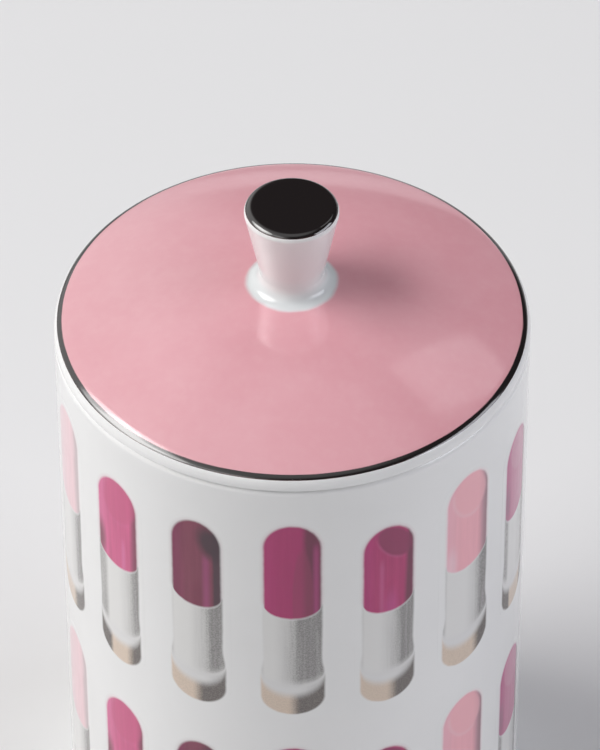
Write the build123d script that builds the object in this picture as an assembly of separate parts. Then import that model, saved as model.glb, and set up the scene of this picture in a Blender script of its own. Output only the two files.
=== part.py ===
from build123d import *

import os
from math import acos, asin, atan2, cos, degrees, hypot, radians, sin, sqrt, tan

# Powder jar in glazed porcelain: a straight round jar and a lift-off domed lid with a flared knob.
# Millimetres. +Z runs up the jar's axis, and the origin is the centre of the foot, on the surface
# that the jar stands on. Every piece is turned, so its outline is drawn once in the half-plane
# right of the axis, as (distance from the axis, height), and spun about Z.

# ---- Driving dimensions -------------------------------------------------------------------------

# Jar body
JAR_RADIUS = 50.7  # outside of the wall, and of the lid's edge, which is flush with it
SEAT_HEIGHT = 145.0  # from the foot up to the mouth, where the lid rests
WALL = 3.5
FLOOR = 4.5
INSIDE_CORNER = 9.0  # radius between the inside wall and the floor
MOUTH_ROUND_OUTSIDE = 1.5
MOUTH_ROUND_INSIDE = 1.0
BASE_ROUND = 3.0  # radius that the wall turns under to the foot
FOOT_WIDTH = 3.5  # of the flat ring that the jar stands on
FOOT_ROUND = 0.8  # radius on the inside edge of the ring
UNDERSIDE_RECESS = 2.0  # height of the underside above the foot

# Lid
DOME_RADIUS = 125.0  # of the sphere that the lid's top is part of
LID_EDGE_ROUND = 2.9  # radius between the dome and the lid's upright edge
LID_EDGE_UPRIGHT = 0.7  # height of the upright edge above the mouth, up to its rounding
LID_THICKNESS = 4.2
LID_SEAT_ROUND = 0.4  # radius on the lid's lower outside edge
FLANGE_DROP = 6.0  # how far the locating flange reaches into the mouth
FLANGE_WIDTH = 3.0
FLANGE_CLEARANCE = 0.8  # all round, between the flange and the inside of the wall
FLANGE_ROUND = 1.2  # radius on both lower edges of the flange

# Coloured coats, which lie flush in the porcelain
COAT = 0.4  # thickness
RIM_LINE_FROM = 40.7  # degrees up the rounded lid edge where the dark line starts
CAP_FROM = 33.0  # degrees up the knob's rounded top edge where its dark cap starts

# Knob
KNOB_TOP_RADIUS = 10.0  # at its widest, just under the top
KNOB_NECK_RADIUS = 6.75  # at its narrowest
KNOB_RISE = 21.0  # from the collar's edge to the flat top
KNOB_TOP_ROUND = 1.6  # radius on the top edge
KNOB_FOOT_SWEEP = 3.0  # hollow radius that spreads the neck out to the collar on the lid

# How many millimetres apart two points may be and still count as one
SAME_POINT = 1e-6


# ---- Drawing and turning ------------------------------------------------------------------------


def on_circle(centre, radius, angle):
    """Point of a circle at an angle in degrees, counted up from straight outwards."""
    turn = radians(angle)
    return (centre[0] + radius * cos(turn), centre[1] + radius * sin(turn))


def arc(centre, radius, start, end):
    """Arc of a circle from one angle to another, in degrees."""
    angles = (start, (start + end) / 2, end)
    return ThreePointArc(*(on_circle(centre, radius, angle) for angle in angles))


def rounded(before, corner, after, radius):
    """Arc that rounds off the corner between two straight runs."""
    tip = Vector(*corner)
    back = (Vector(*before) - tip).normalized()
    onward = (Vector(*after) - tip).normalized()
    half_angle = radians(back.get_angle(onward)) / 2
    reach = radius / tan(half_angle)
    depth = radius / sin(half_angle) - radius
    middle = tip + (back + onward).normalized() * depth
    return ThreePointArc(tip + back * reach, middle, tip + onward * reach)


def turned(*runs):
    """Solid spun about Z from an outline of points and arcs, joined in order by straight lines."""

    def end_of(run, side):
        return Vector(*run) if isinstance(run, tuple) else run @ side

    edges = []
    for run, following in zip(runs, runs[1:] + runs[:1]):
        if not isinstance(run, tuple):
            edges.append(run)
        start, end = end_of(run, 1), end_of(following, 0)
        if (end - start).length > SAME_POINT:
            edges.append(Line(start, end))
    return revolve(Plane.XZ * make_face(edges), Axis.Z)


# ---- Places that more than one piece shares -----------------------------------------------------

# Centres of the lid edge's rounding and of the dome's sphere, which touches that rounding
LID_EDGE_CENTRE = (JAR_RADIUS - LID_EDGE_ROUND, SEAT_HEIGHT + LID_EDGE_UPRIGHT)
DOME_DROP = sqrt((DOME_RADIUS - LID_EDGE_ROUND) ** 2 - LID_EDGE_CENTRE[0] ** 2)
DOME_CENTRE = (0.0, LID_EDGE_CENTRE[1] - DOME_DROP)
DOME_EDGE = degrees(atan2(DOME_DROP, LID_EDGE_CENTRE[0]))  # where the two arcs meet


def on_dome(radius, distance):
    """Angle at which a sphere about the dome's centre is at a distance from the axis."""
    return 90.0 - degrees(asin(distance / radius))


# The foot sweep runs out level at the collar's edge, which is flush with the coat of the dome, and
# the knob stands on a flat land below that coat
KNOB_COLLAR_RADIUS = KNOB_NECK_RADIUS + KNOB_FOOT_SWEEP
COLLAR_EDGE = on_circle(DOME_CENTRE, DOME_RADIUS, on_dome(DOME_RADIUS, KNOB_COLLAR_RADIUS))
COAT_FLOOR_RADIUS = DOME_RADIUS - COAT
LAND_ANGLE = on_dome(COAT_FLOOR_RADIUS, KNOB_COLLAR_RADIUS)
LAND_HEIGHT = on_circle(DOME_CENTRE, COAT_FLOOR_RADIUS, LAND_ANGLE)[1]

KNOB_TOP = COLLAR_EDGE[1] + KNOB_RISE
KNOB_TOP_CENTRE = (KNOB_TOP_RADIUS - KNOB_TOP_ROUND, KNOB_TOP - KNOB_TOP_ROUND)


# ---- Pieces -------------------------------------------------------------------------------------


def jar_body():
    """Straight round jar with a flat mouth, a rounded inside corner and a recessed foot."""
    inside = JAR_RADIUS - WALL
    floor = UNDERSIDE_RECESS + FLOOR
    foot_inside = JAR_RADIUS - BASE_ROUND - FOOT_WIDTH
    underside_edge = (foot_inside, UNDERSIDE_RECESS)
    mouth_outside = (JAR_RADIUS, SEAT_HEIGHT)
    mouth_inside = (inside, SEAT_HEIGHT)
    base = (JAR_RADIUS, 0.0)
    foot = (foot_inside, 0.0)
    bottom_corner = (inside, floor)
    return turned(
        (0.0, UNDERSIDE_RECESS),
        underside_edge,
        rounded(underside_edge, foot, base, FOOT_ROUND),
        rounded(foot, base, mouth_outside, BASE_ROUND),
        rounded(base, mouth_outside, mouth_inside, MOUTH_ROUND_OUTSIDE),
        rounded(mouth_outside, mouth_inside, bottom_corner, MOUTH_ROUND_INSIDE),
        rounded(mouth_inside, bottom_corner, (0.0, floor), INSIDE_CORNER),
        (0.0, floor),
    )


def lid_plate():
    """Domed porcelain lid: an outside edge flush with the jar and a flange that drops inside it."""
    flange_outside = JAR_RADIUS - WALL - FLANGE_CLEARANCE
    flange_inside = flange_outside - FLANGE_WIDTH
    flange_bottom = SEAT_HEIGHT - FLANGE_DROP
    under_radius = DOME_RADIUS - LID_THICKNESS
    under_edge = on_dome(under_radius, flange_inside)
    edge_start = (JAR_RADIUS, LID_EDGE_CENTRE[1])
    seat_corner = (JAR_RADIUS, SEAT_HEIGHT)
    flange_root = (flange_outside, SEAT_HEIGHT)
    outer_tip = (flange_outside, flange_bottom)
    inner_tip = (flange_inside, flange_bottom)
    return turned(
        (0.0, LAND_HEIGHT),
        arc(DOME_CENTRE, COAT_FLOOR_RADIUS, LAND_ANGLE, DOME_EDGE),
        arc(LID_EDGE_CENTRE, LID_EDGE_ROUND - COAT, DOME_EDGE, RIM_LINE_FROM),
        arc(LID_EDGE_CENTRE, LID_EDGE_ROUND, RIM_LINE_FROM, 0.0),
        rounded(edge_start, seat_corner, flange_root, LID_SEAT_ROUND),
        flange_root,
        rounded(flange_root, outer_tip, inner_tip, FLANGE_ROUND),
        rounded(outer_tip, inner_tip, (flange_inside, SEAT_HEIGHT), FLANGE_ROUND),
        arc(DOME_CENTRE, under_radius, under_edge, 90.0),
    )


def lid_enamel():
    """Coloured coat over the dome, from the knob's collar out to the rounded edge."""
    outside_start = on_dome(DOME_RADIUS, KNOB_COLLAR_RADIUS)
    return turned(
        arc(DOME_CENTRE, DOME_RADIUS, outside_start, DOME_EDGE),
        arc(DOME_CENTRE, COAT_FLOOR_RADIUS, DOME_EDGE, LAND_ANGLE),
    )


def rim_line():
    """Dark line round the upper half of the lid's rounded edge."""
    return turned(
        arc(LID_EDGE_CENTRE, LID_EDGE_ROUND, DOME_EDGE, RIM_LINE_FROM),
        arc(LID_EDGE_CENTRE, LID_EDGE_ROUND - COAT, RIM_LINE_FROM, DOME_EDGE),
    )


def lid_knob():
    """Flared knob: its straight side touches both the rounded top edge and the hollow foot sweep."""
    sweep_centre = (KNOB_COLLAR_RADIUS, COLLAR_EDGE[1] + KNOB_FOOT_SWEEP)
    # A line that touches two circles on opposite sides: its normal makes with the line of centres
    # an angle whose cosine is the sum of the radii over the distance between the centres.
    across = sweep_centre[0] - KNOB_TOP_CENTRE[0]
    down = sweep_centre[1] - KNOB_TOP_CENTRE[1]
    off_line = acos((KNOB_TOP_ROUND + KNOB_FOOT_SWEEP) / hypot(across, down))
    side_normal = degrees(atan2(down, across) + off_line)
    return turned(
        (0.0, LAND_HEIGHT),
        (KNOB_COLLAR_RADIUS, LAND_HEIGHT),
        arc(sweep_centre, KNOB_FOOT_SWEEP, -90.0, side_normal - 180.0),
        arc(KNOB_TOP_CENTRE, KNOB_TOP_ROUND, side_normal, CAP_FROM),
        arc(KNOB_TOP_CENTRE, KNOB_TOP_ROUND - COAT, CAP_FROM, 90.0),
        (0.0, KNOB_TOP - COAT),
    )


def knob_cap():
    """Dark coat over the knob's flat top and the upper part of its rounded edge."""
    return turned(
        arc(KNOB_TOP_CENTRE, KNOB_TOP_ROUND, CAP_FROM, 90.0),
        (0.0, KNOB_TOP),
        (0.0, KNOB_TOP - COAT),
        arc(KNOB_TOP_CENTRE, KNOB_TOP_ROUND - COAT, 90.0, CAP_FROM),
    )


PIECES = (jar_body, lid_plate, lid_enamel, rim_line, lid_knob, knob_cap)

os.makedirs("parts", exist_ok=True)
for piece in PIECES:
    export_step(piece(), f"parts/{piece.__name__}.step")
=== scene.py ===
from math import acos, asin, atan2, cos, degrees, hypot, pi, radians, sin, sqrt, tan
from typing import NamedTuple

import bpy
import numpy as np
from bpy.props import FloatProperty, FloatVectorProperty, IntProperty, PointerProperty
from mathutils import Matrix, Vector


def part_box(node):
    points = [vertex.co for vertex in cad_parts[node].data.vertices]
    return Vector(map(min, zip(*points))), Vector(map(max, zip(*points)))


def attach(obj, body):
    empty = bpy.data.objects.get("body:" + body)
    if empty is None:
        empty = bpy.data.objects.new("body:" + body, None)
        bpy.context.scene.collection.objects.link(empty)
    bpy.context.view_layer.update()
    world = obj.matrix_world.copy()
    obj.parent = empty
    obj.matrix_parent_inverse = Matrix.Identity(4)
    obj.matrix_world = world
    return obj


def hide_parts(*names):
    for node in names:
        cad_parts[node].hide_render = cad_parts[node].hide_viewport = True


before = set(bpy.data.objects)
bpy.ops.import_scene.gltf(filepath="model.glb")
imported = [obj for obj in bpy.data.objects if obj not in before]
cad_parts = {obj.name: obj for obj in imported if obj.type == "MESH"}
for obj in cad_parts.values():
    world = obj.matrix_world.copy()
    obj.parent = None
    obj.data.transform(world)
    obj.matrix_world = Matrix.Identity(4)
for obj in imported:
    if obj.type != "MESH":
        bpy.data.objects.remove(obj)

bl_info = {
    "name": "Porcelain Powder Jar",
    "version": (1, 0, 0),
    "blender": (4, 5, 0),
    "location": "View3D > Sidebar > Powder Jar",
    "description": "Glazed and printed surfaces for a round porcelain jar with a domed lid",
    "category": "Add Mesh",
}

# A round porcelain jar with a lift-off domed lid, in metres. +Z runs up the jar's axis from the
# middle of its foot, and -Y is the front. Every turned surface is an outline of (distance from the
# axis, height) points carried round the axis, and every lipstick print is a thin curved patch that
# lies on the wall.

MM = 0.001
JAR, LID = "jar", "lid"
BAKE_MAP = "OFBake"
PRINT_MAP = "Print"
SHARP_ANGLE = radians(32.0)  # edges that turn more than this stay sharp
ON_AXIS = 1e-7  # a point nearer the axis than this is on it
SAME_POINT = 2e-7  # points nearer to each other than this are one

# Facets round the axis, and across and up a print
BODY_FACETS = 384
LID_FACETS = 256
KNOB_FACETS = 160
PRINT_FACETS = (30, 60)

# Where a print's front and back lie on the bake map: each is shrunk by the scale and moved in by the
# margin, the front starts from its middle, and the back is moved right of it
BAKE_MIDDLE = 0.25
BAKE_BACK = 0.4
BAKE_SCALE = 0.96
BAKE_MARGIN = 0.02

# Glaze and enamel
ENAMEL_IOR = 1.75  # overglaze enamel is a heavy glass, and mirrors more than porcelain glaze
PLAIN_GLAZE = {"Gloss": 0.06, "Unevenness": 0.03, "Waves": 0.35, "Peel": 0.05}
RELIEF_DEPTH = 0.4 * MM  # height of the glaze's waves at full strength
WALL_RELIEF = 0.05  # share of that depth on the porcelain and its prints
COAT_RELIEF = 0.1  # and on the knob, the enamel, the line and the cap
COLLAR_NOISE = 240.0  # fineness of the wandering edge between enamel and collar, for each metre
COLLAR_WANDER = 0.8 * MM
SPECKLE_COLOUR = (0.42, 0.36, 0.30)
# bluish pooled glaze at the knob's foot, darkened as painted shade for the hollow there
POOLED_GLAZE_AND_SHADE = (0.64, 0.685, 0.69)
DEEPER_PINK = (0.97, 0.92, 0.93)  # share of the pink that is left where it is deepest
BRUSHED_PINK = (0.86, 0.58, 0.61)
THIN_PINK = (0.78, 0.76, 0.77)
WHITE = (1.0, 1.0, 1.0)


# ---- Sizes and colours that a user would change ---------------------------------------------------


def length(name, description, default):
    """A length property, in metres."""
    return FloatProperty(
        name=name, description=description, default=default, precision=5, unit="LENGTH", subtype="DISTANCE"
    )


def turn(name, description, default):
    """An angle property, given in degrees."""
    return FloatProperty(
        name=name, description=description, default=radians(default), unit="ROTATION", subtype="ANGLE"
    )


def colour(name, description, default):
    """A linear colour property."""
    return FloatVectorProperty(
        name=name, description=description, default=default, size=3, min=0.0, max=1.0, subtype="COLOR"
    )


class JarSizes(bpy.types.PropertyGroup):
    radius: length("Radius", "Outside of the wall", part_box("jar_body")[1].x)
    seat_height: length("Seat height", "From the foot up to the mouth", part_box("jar_body")[1].z)
    wall: length("Wall", "Thickness of the wall", 3.5 * MM)
    floor: length("Floor", "Thickness of the floor", 4.5 * MM)
    inside_corner: length("Inside corner", "Radius between wall and floor", 9.0 * MM)
    mouth_outside: length("Mouth outside", "Radius on the outside of the mouth", 1.5 * MM)
    mouth_inside: length("Mouth inside", "Radius on the inside of the mouth", 1.0 * MM)
    base_round: length("Base round", "Radius that the wall turns under to the foot", 3.0 * MM)
    foot_width: length("Foot width", "Width of the ring that the jar stands on", 3.5 * MM)
    foot_round: length("Foot round", "Radius on the inside edge of the ring", 0.8 * MM)
    recess: length("Recess", "Height of the underside above the foot", 2.0 * MM)


class LidSizes(bpy.types.PropertyGroup):
    dome_radius: length("Dome radius", "Radius of the sphere that the top is part of", 125.0 * MM)
    edge_round: length("Edge round", "Radius between the dome and the upright edge", 2.9 * MM)
    edge_upright: length("Edge upright", "Height of the upright edge above the mouth", 0.7 * MM)
    thickness: length("Thickness", "Thickness of the dome", 4.2 * MM)
    seat_round: length("Seat round", "Radius on the lower outside edge", 0.4 * MM)
    flange_bottom: length("Flange bottom", "Lowest level of the flange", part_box("lid_plate")[0].z)
    flange_width: length("Flange width", "Thickness of the locating flange", 3.0 * MM)
    flange_clearance: length("Flange clearance", "Gap between flange and wall", 0.8 * MM)
    flange_round: length("Flange round", "Radius on the flange's lower edges", 1.2 * MM)
    coat: length("Coat", "Thickness of the coloured coats", 0.4 * MM)
    lip: length("Lip", "Width of the pink coat's edge, where it gets thinner", 1.0 * MM)
    lip_drop: length("Lip drop", "How much thinner the pink coat is at its edge", 0.055 * MM)
    line_from: turn("Line from", "Angle up the rounded edge where the dark line starts", 40.7)


class KnobSizes(bpy.types.PropertyGroup):
    top_radius: length("Top radius", "Widest part, just under the top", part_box("lid_knob")[1].x)
    neck_radius: length("Neck radius", "Narrowest part", 6.75 * MM)
    top: length("Top", "Level of the flat top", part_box("knob_cap")[1].z)
    top_round: length("Top round", "Radius on the top edge", 1.6 * MM)
    foot_sweep: length("Foot sweep", "Hollow radius at the foot", 3.0 * MM)
    cap_from: turn("Cap from", "Angle up the rounded top edge where the dark cap starts", 33.0)


class PrintSizes(bpy.types.PropertyGroup):
    columns: IntProperty(name="Columns", description="Lipsticks in one row", default=15, min=3, max=24)
    rows: IntProperty(name="Rows", description="Rows of lipsticks", default=2, min=1, max=2)
    first_base: length("First base", "From the mouth down to the first row's bases", 66.2 * MM)
    row_pitch: length("Row pitch", "From one row's bases to the next row's", 67.0 * MM)
    front_pitch: turn("Front pitch", "From column to column about the front", 23.6)
    turned_by: turn("Turned by", "Turn of the middle column from the front", -0.3)
    border: length("Border", "Clear glaze around a print", 1.3 * MM)
    proud: length("Proud", "How far a print stands above the wall", 0.015 * MM)


class Colours(bpy.types.PropertyGroup):
    porcelain: colour("Porcelain", "Glazed porcelain", (0.86, 0.86, 0.855))
    biscuit: colour("Biscuit", "Unglazed porcelain on the foot and seat", (0.74, 0.72, 0.68))
    pink: colour("Pink", "Pink enamel on the dome", (0.775, 0.39, 0.435))
    dark: colour("Dark", "Dark enamel line and cap", (0.012, 0.009, 0.009))
    dark_edge: colour("Dark edge", "Dark enamel where it thins out", (0.10, 0.048, 0.043))
    sleeve_light: colour("Sleeve light", "Lit side of a lipstick's sleeve", (0.785, 0.78, 0.765))
    sleeve_dark: colour("Sleeve dark", "Shaded side of a lipstick's sleeve", (0.31, 0.30, 0.295))
    base_light: colour("Base light", "Lit side of a lipstick's base", (0.71, 0.585, 0.48))
    base_dark: colour("Base dark", "Shaded side of a lipstick's base", (0.185, 0.165, 0.155))
    floor: colour("Floor", "Studio floor", (0.815, 0.815, 0.815))


class StageSizes(bpy.types.PropertyGroup):
    floor_size: length("Floor size", "Width of the studio floor", 16.0)
    camera_distance: length("Camera distance", "From the middle of the mouth", 1.18)
    camera_elevation: turn("Camera elevation", "Height of the view above level", 42.47)
    camera_roll: turn("Camera roll", "Tilt of the picture", -0.23)
    aim_right: length("Aim right", "Aim to the right of the jar's axis", 1.6 * MM)
    aim_height: length("Aim height", "Level that the camera looks at", 130.8 * MM)
    lens: FloatProperty(name="Lens", description="Focal length in millimetres", default=266.2)


class PowderJar(bpy.types.PropertyGroup):
    jar: PointerProperty(type=JarSizes)
    lid: PointerProperty(type=LidSizes)
    knob: PointerProperty(type=KnobSizes)
    prints: PointerProperty(type=PrintSizes)
    colours: PointerProperty(type=Colours)
    stage: PointerProperty(type=StageSizes)


# ---- The lipsticks --------------------------------------------------------------------------------


# What sets one lipstick picture apart, in millimetres, with a value for each lipstick in this order.
# x is counted right from its middle line and heights are counted up from the bottom of its base.
LIPSTICK_NAMES = ("blush", "rose", "plum", "fuchsia", "magenta", "shell", "mauve")
LIPSTICK_TABLE = {
    "main": (  # colour of the bullet
        (0.87, 0.61, 0.65), (0.64, 0.125, 0.27), (0.235, 0.055, 0.095), (0.435, 0.042, 0.16),
        (0.475, 0.052, 0.175), (0.9, 0.45, 0.51), (0.6, 0.22, 0.35),
    ),
    "shade": (  # colour of its shaded right side
        (0.6, 0.49, 0.51), (0.26, 0.07, 0.12), (0.09, 0.045, 0.062), (0.19, 0.04, 0.085),
        (0.2, 0.048, 0.095), (0.39, 0.235, 0.275), (0.4, 0.21, 0.28),
    ),
    "left": (  # colour of its lit left side
        (0.88, 0.65, 0.69), (0.67, 0.17, 0.33), (0.22, 0.035, 0.09), (0.47, 0.045, 0.18),
        (0.475, 0.045, 0.19), (0.86, 0.46, 0.53), (0.5, 0.12, 0.26),
    ),
    "face": (  # colour of the worn slope at its top
        (0.88, 0.64, 0.68), (0.61, 0.115, 0.245), (0.065, 0.035, 0.048), (0.32, 0.05, 0.125),
        (0.27, 0.045, 0.115), (0.9, 0.47, 0.52), (0.62, 0.29, 0.4),
    ),
    "patch": (  # colour of a soft patch low on one side
        (0.89, 0.66, 0.73), (0.27, 0.09, 0.13), (0.18, 0.03, 0.065), (0.5, 0.08, 0.24),
        (0.53, 0.085, 0.28), (0.88, 0.6, 0.66), (0.36, 0.17, 0.25),
    ),
    "glint": (  # colour of an upright light line
        (0.88, 0.72, 0.75), (0.7, 0.21, 0.41), (0.34, 0.07, 0.18), (0.5, 0.07, 0.25),
        (0.57, 0.13, 0.31), (0.9, 0.62, 0.66), (0.7, 0.36, 0.48),
    ),
    "top": (57.2, 53.8, 53.7, 56.2, 52.0, 55.5, 51.5),  # height of the bullet's top
    # Height where the bullet leaves the sleeve, at the middle
    "foot": (29.7, 28.6, 28.8, 29.0, 27.0, 28.4, 27.2),
    "half_width": (6.0, 5.9, 5.6, 6.05, 5.75, 6.3, 6.0),  # of the bullet
    "base_half_width": (6.7, 6.25, 6.35, 6.8, 6.3, 7.15, 6.6),
    # The x where the shaded side starts, at its middle height
    "shade_from": (2.6, 3.6, 3.4, 1.6, 3.4, 2.7, 3.6),
    "shade_soft": (3.0, 1.9, 0.9, 1.7, 1.4, 3.4, 2.2),  # how gradually it starts
    "shade_slant": (0.0, 0.02, 0.0, 0.0, 0.03, 0.0, 0.0),  # how far that x moves for each millimetre up
    "face_x": (0.5, 0.9, 3.7, 2.2, 1.4, 0.6, 0.5),
    # From the bullet's top down to the middle of its face
    "face_drop": (6.0, 5.4, 5.6, 22.0, 4.8, 5.8, 6.0),
    "face_across": (4.0, 4.9, 2.9, 2.2, 3.2, 4.8, 4.0),  # half of the face's size along its slope
    "face_along": (5.5, 6.4, 4.6, 15.0, 5.2, 6.2, 5.5),
    "face_tilt": (0.4, -0.25, 0.35, 0.0, 0.6, 0.35, 0.4),  # radians
    "face_amount": (0.4, 0.6, 0.95, 0.6, 0.85, 0.8, 0.5),
    "face_soft": (0.14, 0.14, 0.5, 0.14, 0.14, 0.14, 0.14),  # how soft its edge is, as a share of its size
    "face_rim": (0.0, 0.12, 0.0, 0.0, 0.5, 0.6, 0.0),  # strength of the light rim at the face's lower left
    "streaks": (0.3, 0.4, 0.3, 0.15, 0.4, 0.12, 0.3),  # strength of the upright streaks
    "glint_x": (3.0, 1.9, 2.3, 5.0, -1.6, 3.0, 3.0),
    "glint_low": (0.0, 26.0, 26.0, 27.0, 24.0, 0.0, 0.0),  # height where an upright light line starts
    "glint_high": (0.0, 39.0, 46.0, 52.0, 44.0, 0.0, 0.0),
    "glint_half": (0.3, 1.0, 1.3, 1.1, 0.9, 0.3, 0.3),
    "glint_amount": (0.0, 0.5, 0.9, 0.6, 0.5, 0.0, 0.0),
    "patch_x": (-4.0, -5.5, 0.5, 4.4, 0.6, -4.9, -5.3),
    "patch_height": (33.0, 34.0, 31.0, 30.5, 28.0, 31.5, 34.0),
    "patch_amount": (0.4, 0.95, 0.5, 0.8, 0.6, 0.8, 0.8),
    "sleeve_grey_from": (2.0, 2.8, 0.8, -1.2, 0.6, 2.4, 3.0),  # x where the sleeve turns grey
    "sleeve_left_grey": (1.2, 3.2, 0.7, 0.5, 0.8, 0.9, 3.0),  # width of the grey on its left side
    "base_beige_from": (-7.5, -2.7, -7.5, -7.5, -7.5, -7.5, -2.6),
    "base_beige_to": (0.6, 2.2, -0.9, -0.6, 0.2, 2.3, 3.5),
}
LIPSTICKS = {
    name: {field: values[number] for field, values in LIPSTICK_TABLE.items()}
    for number, name in enumerate(LIPSTICK_NAMES)
}

# Which lipstick each column shows, from left to right and on round the back
ROUND_THE_JAR = (
    "blush", "rose", "plum", "fuchsia", "magenta", "shell", "mauve", "plum",
    "magenta", "rose", "fuchsia", "blush", "shell", "magenta", "fuchsia",
)
COLUMNS_EACH_SIDE = 3  # how many columns left and right of the middle one keep the front's pitch

# Shapes that all the lipsticks share, in millimetres
SLEEVE_SLACK = 0.25  # how much wider than the bullet the sleeve is, on each side
SLEEVE_SAG = 4.0  # how far the bullet's lower edge curves down
BULLET_CROWN = 6.5  # height of the bullet's rounded top
BASE_CROWN = 5.5  # height of the base's rounded bottom
RING_HEIGHT = 8.4  # of the light ring at the foot of the sleeve, at the middle
RING_SAG = 4.0
BASE_TOP = 5.2  # height where the base fades into the haze under the ring
BASE_TOP_SAG = 5.8
EDGE_SOFT = 0.38  # how soft a printed edge is
DOTS_PER_MM = 3.2  # fineness of the printed grain
HIDDEN_TOP = 90.0  # where the sleeve would end, behind the bullet
HIDDEN_BOTTOM = -50.0  # where the bullet would end, behind the sleeve
HAZE_COLOUR = (0.77, 0.765, 0.76)
RING_COLOUR = (0.74, 0.735, 0.73)
LIP_COLOUR = (0.80, 0.78, 0.79)  # of the thin light line where the sleeve meets the bullet
BODY_COLOURS = ("sleeve_light", "sleeve_dark", "base_light", "base_dark")


# ---- Outlines and meshes --------------------------------------------------------------------------


def on_circle(centre, radius, angle):
    """Point of a circle at an angle in radians, counted up from straight outwards."""
    return np.array((centre[0] + radius * cos(angle), centre[1] + radius * sin(angle)))


def arc(centre, radius, start, end, count):
    """Points of a circle: the centre plus the radius times (cos, sin) of evenly spaced angles."""
    angles = np.linspace(start, end, count)
    return np.column_stack((centre[0] + radius * np.cos(angles), centre[1] + radius * np.sin(angles)))


def run(start, end, count):
    """Points of a straight run, close together at its ends: the share along it is half of one minus
    the cosine of an angle that goes evenly from 0 to 180 degrees."""
    share = (1.0 - np.cos(np.linspace(0.0, pi, count)))[:, None] / 2.0
    return np.array(start) * (1.0 - share) + np.array(end) * share


def rounded(before, corner, after, radius, count=10):
    """Points of the arc that rounds off a corner: the arc's centre plus a radius that turns evenly
    from the square to the first side to the square to the second."""
    tip = np.array(corner)
    back = np.array(before) - tip
    onward = np.array(after) - tip
    back /= np.linalg.norm(back)
    onward /= np.linalg.norm(onward)
    half_angle = acos(back @ onward) / 2.0
    bisector = (back + onward) / np.linalg.norm(back + onward)
    centre = tip + bisector * radius / sin(half_angle)
    first = tip + back * radius / tan(half_angle) - centre
    last = tip + onward * radius / tan(half_angle) - centre
    swept = pi - 2.0 * half_angle
    share = np.linspace(0.0, 1.0, count)[:, None]
    return centre + (np.sin((1.0 - share) * swept) * first + np.sin(share * swept) * last) / sin(swept)


def sunk(points, centre, depths):
    """Points moved toward a circle's centre, each by its own depth."""
    spokes = points - centre
    return points - spokes / np.linalg.norm(spokes, axis=1, keepdims=True) * depths[:, None]


def outline(*runs):
    """A closed outline from runs of points in order, without repeated points, turned so that it goes
    up its outer side: its signed area is then above 0."""
    points = np.vstack([np.atleast_2d(run_of_points) for run_of_points in runs])
    points[:, 0] = np.where(points[:, 0] < ON_AXIS, 0.0, points[:, 0])
    apart = np.linalg.norm(points - np.roll(points, 1, axis=0), axis=1) > SAME_POINT
    points = points[apart]
    following = np.roll(points, -1, axis=0)
    signed_area = (points[:, 0] * following[:, 1] - following[:, 0] * points[:, 1]).sum() / 2.0
    return points if signed_area > 0.0 else points[::-1]


def add_mesh(name, vertices, faces, maps, material):
    """A smooth mesh object at the origin, with its UV maps given corner by corner."""
    mesh = bpy.data.meshes.new(name)
    mesh.from_pydata(vertices, [], faces)
    for map_name, corners in maps.items():
        layer = mesh.uv_layers.new(name=map_name)
        layer.data.foreach_set("uv", np.ascontiguousarray(corners, dtype=np.float32).ravel())
    mesh.polygons.foreach_set("use_smooth", np.ones(len(mesh.polygons), dtype=bool))
    mesh.set_sharp_from_angle(angle=SHARP_ANGLE)
    mesh.materials.append(material)
    mesh.update()
    piece = bpy.data.objects.new(name, mesh)
    bpy.context.scene.collection.objects.link(piece)
    return piece


def lathe(name, points, facets, material):
    """Carries a closed outline round the axis: outline point (r, z) at turn a goes to (r cos a,
    r sin a, z). A point on the axis is one vertex. The bake map is (turn, length along outline)."""
    rows = len(points)
    on_axis = points[:, 0] <= ON_AXIS
    counts = np.where(on_axis, 1, facets)
    firsts = np.concatenate(([0], np.cumsum(counts)[:-1]))
    turns = 2.0 * pi * np.arange(facets) / facets
    grid = np.empty((rows, facets, 3))
    grid[:, :, 0] = points[:, :1] * np.cos(turns)
    grid[:, :, 1] = points[:, :1] * np.sin(turns)
    grid[:, :, 2] = points[:, 1:]
    kept = np.ones((rows, facets), dtype=bool)
    kept[on_axis, 1:] = False
    vertices = grid[kept]

    around = np.arange(facets + 1)
    index = firsts[:, None] + np.where(on_axis[:, None], 0, around % facets)
    below, above = index, np.roll(index, -1, axis=0)
    steps = np.linalg.norm(np.roll(points, -1, axis=0) - points, axis=1)
    low = np.concatenate(([0.0], np.cumsum(steps)[:-1])) / steps.sum()
    high = low + steps / steps.sum()
    left, right = around[:-1] / facets, around[1:] / facets

    def corners(rows_in, order):
        """Vertex numbers and map places of the faces in some rows. Each corner is (side, level)."""
        numbers, places = [], []
        for is_right, is_high in order:
            level = above if is_high else below
            side = slice(1, None) if is_right else slice(None, -1)
            numbers.append(level[rows_in][:, side])
            across = np.broadcast_to(right if is_right else left, numbers[-1].shape)
            along = np.broadcast_to((high if is_high else low)[rows_in][:, None], numbers[-1].shape)
            places.append(np.stack((across, along), axis=-1))
        count = len(order)
        return np.stack(numbers, axis=-1).reshape(-1, count), np.stack(places, axis=-2).reshape(-1, 2)

    next_on_axis = np.roll(on_axis, -1)
    lower_left, lower_right, upper_right, upper_left = (0, 0), (1, 0), (1, 1), (0, 1)
    kinds = (
        (~on_axis & ~next_on_axis, (lower_left, lower_right, upper_right, upper_left)),
        (on_axis & ~next_on_axis, (lower_left, upper_right, upper_left)),
        (~on_axis & next_on_axis, (lower_left, lower_right, upper_left)),
    )
    faces, places = [], []
    for rows_in, order in kinds:
        numbers, at = corners(rows_in, order)
        faces += numbers.tolist()
        places.append(at)
    return add_mesh(name, vertices.tolist(), faces, {BAKE_MAP: np.vstack(places)}, material)


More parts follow.
